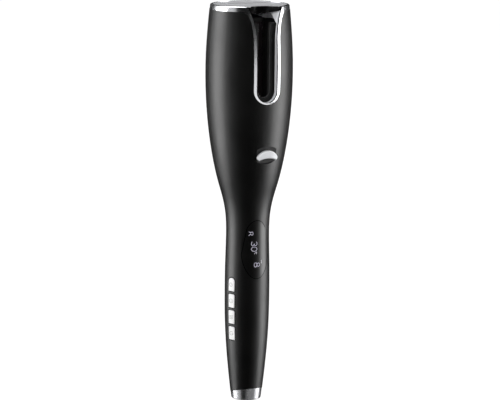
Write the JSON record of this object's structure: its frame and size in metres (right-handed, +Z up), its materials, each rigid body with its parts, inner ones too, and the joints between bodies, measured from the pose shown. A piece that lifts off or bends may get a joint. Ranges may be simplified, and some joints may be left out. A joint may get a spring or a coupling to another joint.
{
  "type": "automatic hair curler",
  "caption": "Cordless automatic hair curler: round tapered handle, wide head with a chrome-edged hair slot, rotating slotted guide round a heated barrel, curl button, display and side keys.",
  "frame": {"origin": "middle of the flat resting face under the base band", "axes": "+Z up along the handle to the head, -Y out of the hair slot, the curl button and the display"},
  "size_m": [0.0608, 0.0603, 0.28],
  "materials": {
    "body_black": "soft-touch matte black",
    "chrome": "polished",
    "satin_silver": "satin plated",
    "brushed_cap": "fine brushed",
    "band_silver": "satin",
    "window_black": "gloss, smoked",
    "key_white": "semi-gloss white",
    "button_silver": "pearl white gloss",
    "inner_black": "heat-resistant black",
    "gear_white": "natural acetal",
    "steel": "bright",
    "barrel_coat": "ceramic coated",
    "aluminium": "as extruded",
    "cell_wrap": "blue sleeve",
    "nickel": "bright",
    "board_green": "solder mask",
    "ceramic_white": "matt",
    "magnet_grey": "ferrite",
    "wire_red": "silicone insulation"
  },
  "bodies": {
    "casing": {"front_casing": "body_black", "rear_casing": "body_black", "slot_trim": "chrome", "slot_lining": "satin_silver", "base_band": "band_silver", "end_cap": "body_black", "usb_socket": "steel", "top_cap": "brushed_cap", "chamber_collar": "satin_silver", "chamber_liner": "inner_black", "chamber_floor": "inner_black", "guide_bearing": "gear_white", "home_sensor": "board_green", "barrel_holder": "inner_black", "heater_barrel": "barrel_coat", "barrel_cap": "inner_black", "heater_core": "aluminium", "heating_plate": "ceramic_white", "thermal_fuse": "nickel", "thermistor": "ceramic_white", "idler_pin": "steel", "gearbox_base": "inner_black", "gearbox_cover": "inner_black", "gearbox_screws": "steel", "motor_can": "nickel", "motor_end_cap": "inner_black", "motor_magnets": "magnet_grey", "motor_screws": "steel", "battery_cell_lower": "cell_wrap", "battery_cell_upper": "cell_wrap", "battery_tabs": "nickel", "battery_cradle": "inner_black", "charge_board": "board_green", "main_board": "board_green", "board_screws": "steel", "link_ribbon": "inner_black", "heater_leads": "wire_red", "motor_leads": "wire_red", "display_window": "window_black", "display_panel": "window_black", "key_board": "board_green", "key_switches": "steel", "curl_switch_board": "board_green", "curl_switch": "inner_black"},
    "hair_guide": {"guide_drum": "inner_black", "guide_gear": "gear_white", "guide_screws": "steel", "home_magnet": "magnet_grey"},
    "output_shaft": {"output_gear": "gear_white"},
    "idler": {"idler_gear": "gear_white"},
    "rotor": {"motor_rotor": "steel", "motor_pinion": "gear_white"},
    "curl_button": {"curl_button": "button_silver"},
    "key_1": {"side_key_1": "key_white"},
    "key_2": {"side_key_2": "key_white"},
    "key_3": {"side_key_3": "key_white"},
    "key_4": {"side_key_4": "key_white"}
  },
  "joints": [
    {"name": "guide_spin", "type": "hinge", "parent": "casing", "child": "hair_guide", "pos_m": [0, 0, 0.206], "axis": [0, 0, 1], "continuous": true},
    {"name": "output_spin", "type": "hinge", "parent": "casing", "child": "output_shaft", "pos_m": [0.0096, 0.01663, 0.19], "axis": [0, 0, 1], "continuous": true},
    {"name": "idler_spin", "type": "hinge", "parent": "casing", "child": "idler", "pos_m": [0.00373, 0.01119, 0.189], "axis": [0, 0, 1], "continuous": true},
    {"name": "motor_spin", "type": "hinge", "parent": "casing", "child": "rotor", "pos_m": [0, 0.003, 0.17], "axis": [0, 0, 1], "continuous": true},
    {"name": "curl_press", "type": "slide", "parent": "casing", "child": "curl_button", "axis": [0, 1, 0], "range_m": [0, 0.0012], "stiffness_N_per_m": 800, "springref_m": -0.0006},
    {"name": "key_1_press", "type": "slide", "parent": "casing", "child": "key_1", "axis": [0.9336, 0.3584, 0], "range_m": [0, 0.0006], "stiffness_N_per_m": 1000, "springref_m": -0.0006},
    {"name": "key_2_press", "type": "slide", "parent": "casing", "child": "key_2", "axis": [0.9336, 0.3584, 0], "range_m": [0, 0.0006], "stiffness_N_per_m": 1000, "springref_m": -0.0006},
    {"name": "key_3_press", "type": "slide", "parent": "casing", "child": "key_3", "axis": [0.9336, 0.3584, 0], "range_m": [0, 0.0006], "stiffness_N_per_m": 1000, "springref_m": -0.0006},
    {"name": "key_4_press", "type": "slide", "parent": "casing", "child": "key_4", "axis": [0.9336, 0.3584, 0], "range_m": [0, 0.0006], "stiffness_N_per_m": 1000, "springref_m": -0.0006}
  ],
  "couplings": [
    {"joint": "output_spin", "follows": "guide_spin", "ratio": -3},
    {"joint": "idler_spin", "follows": "guide_spin", "ratio": 5},
    {"joint": "motor_spin", "follows": "guide_spin", "ratio": -10}
  ]
}
